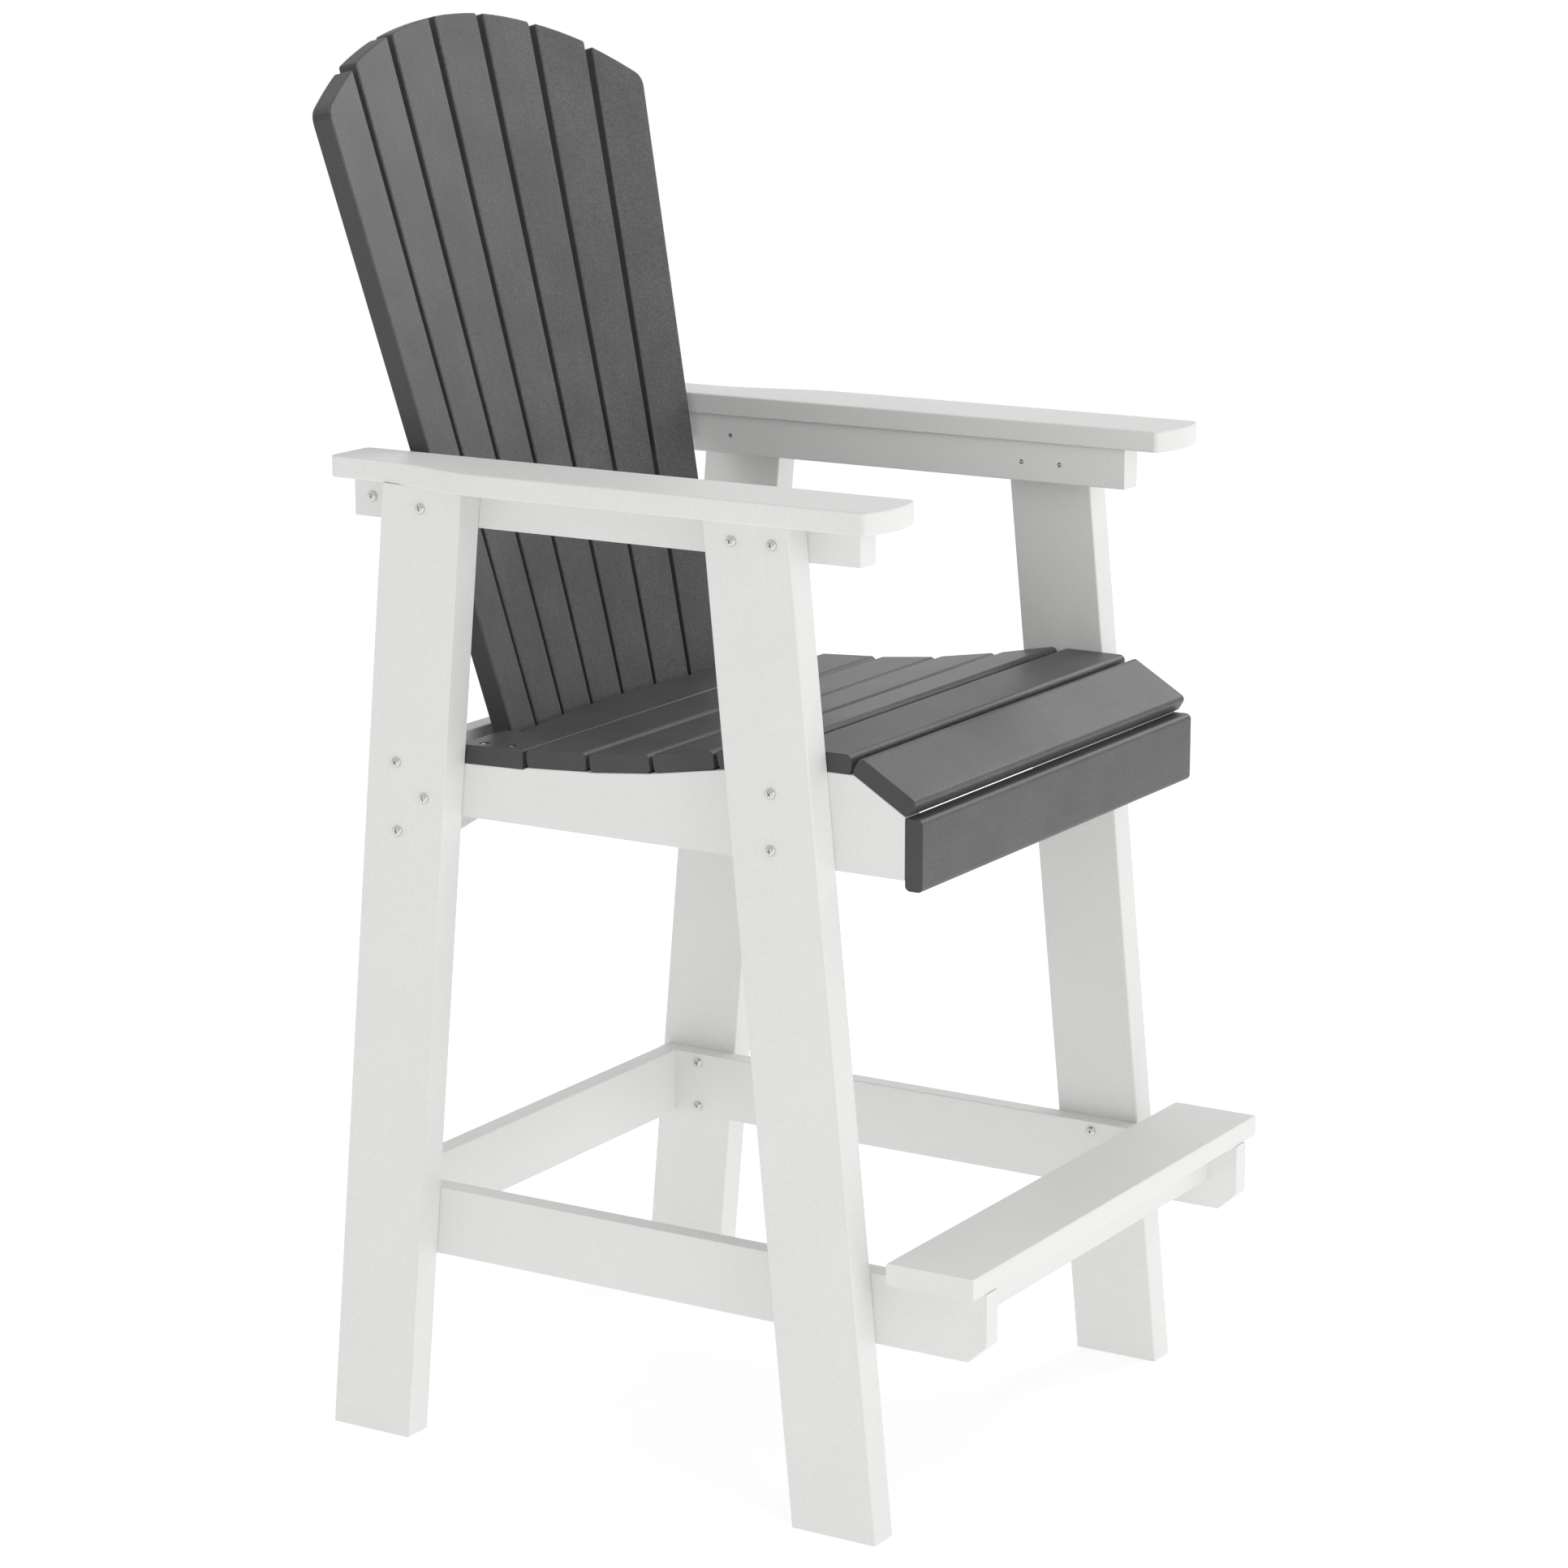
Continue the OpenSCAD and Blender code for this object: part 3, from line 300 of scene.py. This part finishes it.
def stainless(name):
    """Satin stainless steel, a little duller in its fine scratches."""
    finish = bpy.data.materials.new(name)
    finish.use_nodes = True
    nodes = finish.node_tree.nodes
    links = finish.node_tree.links
    shader = nodes["Principled BSDF"]
    shader.inputs["Metallic"].default_value = 1
    place = nodes.new("ShaderNodeTexCoord")
    scratches = nodes.new("ShaderNodeTexNoise")
    scratches.inputs["Scale"].default_value = SCRATCH_SCALE
    scratches.inputs["Detail"].default_value = SCRATCH_DETAIL
    links.new(place.outputs["Object"], scratches.inputs["Vector"])
    tint = nodes.new("ShaderNodeMix")
    tint.data_type = "RGBA"
    tint.inputs["A"].default_value = STEEL_DARK
    tint.inputs["B"].default_value = STEEL_LIGHT
    links.new(scratches.outputs["Fac"], tint.inputs["Factor"])
    links.new(tint.outputs["Result"], shader.inputs["Base Color"])
    dull = nodes.new("ShaderNodeMapRange")
    dull.inputs["To Min"].default_value = STEEL_DULL_LOW
    dull.inputs["To Max"].default_value = STEEL_DULL_HIGH
    links.new(scratches.outputs["Fac"], dull.inputs["Value"])
    links.new(dull.outputs["Result"], shader.inputs["Roughness"])
    relief = nodes.new("ShaderNodeBump")
    relief.inputs["Strength"].default_value = SCRATCH_RELIEF
    relief.inputs["Distance"].default_value = SCRATCH_DEPTH
    links.new(scratches.outputs["Fac"], relief.inputs["Height"])
    links.new(relief.outputs["Normal"], shader.inputs["Normal"])
    return finish


screw_steel = stainless("screw_steel")

HEAD_R, HEAD_H = 0.00525, 0.0032
RIM_Z, SHOULDER_Z = -0.0001, -0.0009
HEAD_CURVE = [(0.00495, -0.0017), (0.0043, -0.0024), (0.0034, -0.00292)]
HEAD_TOP_R, HEAD_TOP_Z = 0.0027, -0.0031
SHANK_R, TIP_R, TIP_LEN = 0.0025, 0.0009, 0.003
CROSS_ARM, CROSS_HALF_W = 0.0022, 0.00055
CROSS_DEPTH, CROSS_TAPER = 0.0018, 0.62
RING_STEPS = 24
SCREW_SHADE_ANGLE = math.radians(35)
# Each screw's cross stops at its own angle
TURN_STEP, QUARTER_TURN = 37, 90


def ring(screw, r, z):
    """A closed run of edges round the screw's axis."""
    made = bmesh.ops.create_circle(
        screw, segments=RING_STEPS, radius=r, cap_ends=False,
        matrix=Matrix.Translation((0, 0, z)),
    )
    return list(dict.fromkeys(e for v in made["verts"] for e in v.link_edges))


def pan_head_screw(length):
    """A screw driven along +Z, with its head's underside at z = 0."""
    screw = bmesh.new()
    head = [(HEAD_R, RIM_Z), (HEAD_R, SHOULDER_Z), *HEAD_CURVE, (HEAD_TOP_R, HEAD_TOP_Z)]
    shank = [(HEAD_R, RIM_Z), (SHANK_R, 0), (SHANK_R, length - TIP_LEN), (TIP_R, length)]
    for outline in (head, shank):
        for (r0, z0), (r1, z1) in zip(outline, outline[1:]):
            bmesh.ops.bridge_loops(screw, edges=ring(screw, r0, z0) + ring(screw, r1, z1))
    bmesh.ops.contextual_create(screw, geom=ring(screw, TIP_R, length))

    # Cross recess: a face in the shape of a plus, pushed down into the head
    arm, half = CROSS_ARM, CROSS_HALF_W
    corners = [
        (arm, -half), (arm, half), (half, half), (half, arm), (-half, arm), (-half, half),
        (-arm, half), (-arm, -half), (-half, -half), (-half, -arm), (half, -arm), (half, -half),
    ]
    mouth = screw.faces.new([screw.verts.new((x, y, -HEAD_H)) for x, y in corners])
    mouth_edges = list(mouth.edges)
    pushed = bmesh.ops.extrude_face_region(screw, geom=[mouth])
    floor_verts = [g for g in pushed["geom"] if isinstance(g, bmesh.types.BMVert)]
    bmesh.ops.scale(screw, vec=(CROSS_TAPER, CROSS_TAPER, 1), verts=floor_verts)
    bmesh.ops.translate(screw, vec=(0, 0, CROSS_DEPTH), verts=floor_verts)
    lids = [f for f in screw.faces if set(f.edges) == set(mouth_edges)]
    bmesh.ops.delete(screw, geom=lids, context="FACES_ONLY")
    bmesh.ops.bridge_loops(screw, edges=mouth_edges + ring(screw, HEAD_TOP_R, HEAD_TOP_Z))
    bmesh.ops.remove_doubles(screw, verts=screw.verts, dist=MERGE_DIST)
    bmesh.ops.recalc_face_normals(screw, faces=screw.faces)
    mesh = bpy.data.meshes.new("pan_head_screw")
    screw.to_mesh(mesh)
    screw.free()
    return mesh


def each_screw(node):
    """The box of each screw in a CAD node, one at a time."""
    solid = bmesh.new()
    solid.from_mesh(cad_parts[node].data)
    bmesh.ops.remove_doubles(solid, verts=solid.verts, dist=MERGE_DIST)
    left = set(solid.verts)
    boxes = []
    while left:
        group = [left.pop()]
        for v in group:
            for e in v.link_edges:
                other = e.other_vert(v)
                if other in left:
                    left.discard(other)
                    group.append(other)
        boxes.append((
            Vector([min(v.co[k] for v in group) for k in range(3)]),
            Vector([max(v.co[k] for v in group) for k in range(3)]),
        ))
    solid.free()
    return sorted(boxes, key=lambda box: tuple(round(c, 4) for c in box[0]))


def driven(node, towards):
    """New screws where the CAD has them, driven in or out across the chair, or up, down or front."""
    whole = bmesh.new()
    for count, (low, high) in enumerate(each_screw(node)):
        middle = (low + high) / 2
        outward = 1 if middle.x > 0 else -1
        way = {
            "in": Vector((-outward, 0, 0)), "out": Vector((outward, 0, 0)),
            "up": Vector((0, 0, 1)), "down": Vector((0, 0, -1)), "front": Vector((0, -1, 0)),
        }[towards]
        size = max(high - low)
        head_top = middle - way * size / 2
        turn = way.to_track_quat("Z", "Y").to_matrix().to_4x4()
        spun = Matrix.Rotation(math.radians(TURN_STEP * count % QUARTER_TURN), 4, "Z")
        mesh = pan_head_screw(size - HEAD_H)
        mesh.transform(Matrix.Translation(head_top + way * HEAD_H) @ turn @ spun)
        whole.from_mesh(mesh)
        bpy.data.meshes.remove(mesh)
    for face in whole.faces:
        face.smooth = True
    mesh = bpy.data.meshes.new(node + "_finished")
    whole.to_mesh(mesh)
    whole.free()
    mesh.set_sharp_from_angle(angle=SCREW_SHADE_ANGLE)
    mesh.materials.append(screw_steel)
    piece = bpy.data.objects.new(node + "_finished", mesh)
    bpy.context.scene.collection.objects.link(piece)
    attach(piece, "root")
    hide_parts(node)


for screws, towards in (
    ("arm_rail_screws", "in"), ("cross_board_screws", "in"), ("seat_rail_screws", "in"),
    ("upper_back_board_screws", "in"), ("lower_rail_screws", "out"), ("stretcher_screws", "in"),
    ("seat_board_screws", "up"), ("rear_seat_board_screws", "down"),
    ("upper_slat_screws", "front"), ("lower_slat_screws", "front"), ("arm_screws", "up"),
    ("footrest_screws", "up"), ("footrest_apron_screws", "up"),
):
    driven(screws, towards)

# The slant screws of the front apron are sunk in the rails, and keep the CAD's shape
for steel_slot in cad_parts["apron_screws"].material_slots:
    steel_slot.material = screw_steel

# Studio
# A plain pale floor that runs out of view, an even white sky and three wide soft lamps: one in front of the
# chair, one at its right, and a weak low one behind its right that gives the seat boards their sheen.
# The camera stands where the photograph was taken from.

FLOOR_SIZE = 60
FLOOR_COLOUR, FLOOR_DULL = (0.93, 0.93, 0.93, 1), 0.9
GLOW_COLOUR, FLOOR_GLOW = (1, 1, 1, 1), 0.35
floor_mesh = bpy.data.meshes.new("floor")
floor_shape = bmesh.new()
bmesh.ops.create_grid(floor_shape, x_segments=1, y_segments=1, size=FLOOR_SIZE)
floor_shape.to_mesh(floor_mesh)
floor_shape.free()
floor = bpy.data.objects.new("floor", floor_mesh)
bpy.context.scene.collection.objects.link(floor)
floor_finish = bpy.data.materials.new("pale_floor")
floor_finish.use_nodes = True
floor_shader = floor_finish.node_tree.nodes["Principled BSDF"]
floor_shader.inputs["Base Color"].default_value = FLOOR_COLOUR
floor_shader.inputs["Roughness"].default_value = FLOOR_DULL
floor_shader.inputs["Emission Color"].default_value = GLOW_COLOUR
floor_shader.inputs["Emission Strength"].default_value = FLOOR_GLOW
floor_mesh.materials.append(floor_finish)

HORIZON_LIGHT, ZENITH_LIGHT = 0.62, 0.76
SKY_COLOUR = (1, 1, 1, 1)
sky = bpy.data.worlds.new("studio")
sky.use_nodes = True
sky_nodes = sky.node_tree.nodes
sky_links = sky.node_tree.links
sky_place = sky_nodes.new("ShaderNodeTexCoord")
sky_parts = sky_nodes.new("ShaderNodeSeparateXYZ")
sky_links.new(sky_place.outputs["Generated"], sky_parts.inputs["Vector"])
sky_grade = sky_nodes.new("ShaderNodeMapRange")
sky_grade.inputs["To Min"].default_value = HORIZON_LIGHT
sky_grade.inputs["To Max"].default_value = ZENITH_LIGHT
sky_links.new(sky_parts.outputs["Z"], sky_grade.inputs["Value"])
sky_links.new(sky_grade.outputs["Result"], sky_nodes["Background"].inputs["Strength"])
sky_nodes["Background"].inputs["Color"].default_value = SKY_COLOUR
bpy.context.scene.world = sky
bpy.context.scene.view_settings.view_transform = "Standard"

LAMP_SIZE = 2.4
for lamp_name, stand, aim_height, power in (
    ("front_box", (-1.4, -4.5, 2.0), 0.8, 36),
    ("right_box", (4.2, -1.0, 3.0), 0.9, 46),
    ("low_back_box", (5.0, 3.2, 1.9), 0.9, 11),
):
    lamp = bpy.data.lights.new(lamp_name, "AREA")
    lamp.shape = "SQUARE"
    lamp.size = LAMP_SIZE
    lamp.energy = power
    holder = bpy.data.objects.new(lamp_name, lamp)
    holder.location = stand
    aim = Vector((0, 0, aim_height)) - Vector(stand)
    holder.rotation_euler = aim.to_track_quat("-Z", "Y").to_euler()
    bpy.context.scene.collection.objects.link(holder)

SENSOR_W, LENS = 36, 102.607
CAMERA_STAND = (-3.7735, -2.3067, 1.6637)
AZIMUTH, PITCH = math.radians(58.678), math.radians(12.906)
camera = bpy.data.objects.new("photo_camera", bpy.data.cameras.new("photo_camera"))
camera.data.sensor_width = SENSOR_W
camera.data.lens = LENS
camera.location = CAMERA_STAND
look = Vector((
    math.sin(AZIMUTH) * math.cos(PITCH), math.cos(AZIMUTH) * math.cos(PITCH), -math.sin(PITCH),
))
camera.rotation_euler = look.to_track_quat("-Z", "Y").to_euler()
bpy.context.scene.collection.objects.link(camera)
bpy.context.scene.camera = camera
